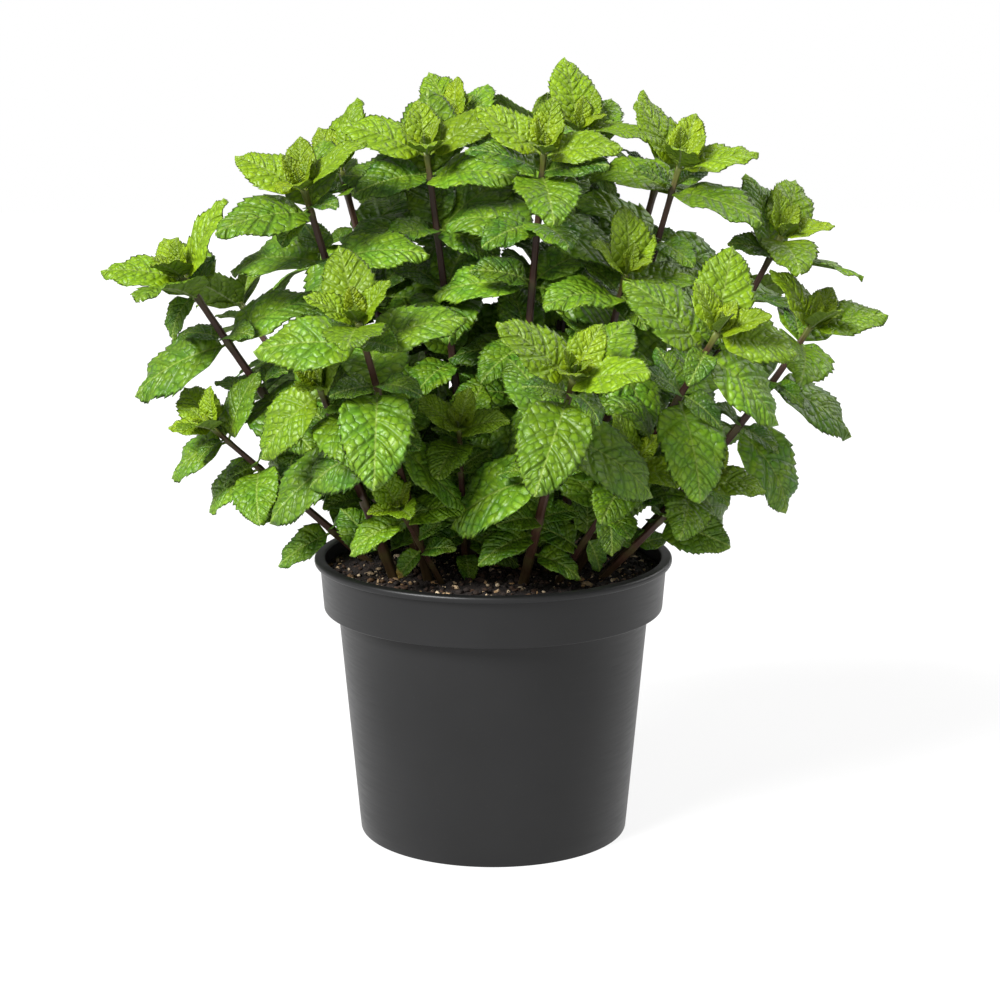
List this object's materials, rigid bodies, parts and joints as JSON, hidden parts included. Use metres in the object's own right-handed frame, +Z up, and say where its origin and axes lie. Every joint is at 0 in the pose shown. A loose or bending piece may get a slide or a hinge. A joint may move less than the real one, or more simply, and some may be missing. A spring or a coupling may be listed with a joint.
{
  "type": "potted mint plant",
  "caption": "Bushy mint plant with toothed, quilted leaves in opposite pairs on square stems, growing in potting soil in a round plastic nursery pot with a rolled lip and a deep collar.",
  "frame": {"origin": "centre of the pot's foot, on the surface it stands on, below the middle of the crown", "axes": "+Z up along the pot's axis; the plant's front, as pictured, faces -Y, and +X is to its right"},
  "size_m": [0.3662, 0.2979, 0.3651],
  "materials": {
    "pot_plastic": "satin",
    "potting_soil": "matte",
    "mint_leaf": "satin",
    "mint_stalk": "satin"
  },
  "bodies": {
    "root": {"pot": "pot_plastic", "soil": "potting_soil", "mint_stem_01": "mint_leaf", "mint_stem_02": "mint_leaf", "mint_stem_03": "mint_leaf", "mint_stem_04": "mint_leaf", "mint_stem_05": "mint_leaf", "mint_stem_06": "mint_leaf", "mint_stem_07": "mint_leaf", "mint_stem_08": "mint_leaf", "mint_stem_09": "mint_leaf", "mint_stem_10": "mint_leaf", "mint_stem_11": "mint_leaf", "mint_stem_12": "mint_leaf", "mint_stem_13": "mint_leaf", "mint_stem_14": "mint_leaf", "mint_stem_15": "mint_leaf", "mint_stem_16": "mint_leaf", "mint_stem_17": "mint_leaf", "mint_stem_18": "mint_leaf", "mint_stem_19": "mint_leaf", "mint_stem_20": "mint_leaf", "mint_stem_21": "mint_leaf", "mint_stem_22": "mint_leaf", "mint_stem_23": "mint_leaf", "mint_stem_24": "mint_leaf", "mint_stem_25": "mint_leaf", "mint_stem_26": "mint_leaf", "mint_stem_27": "mint_leaf"}
  },
  "joints": []
}
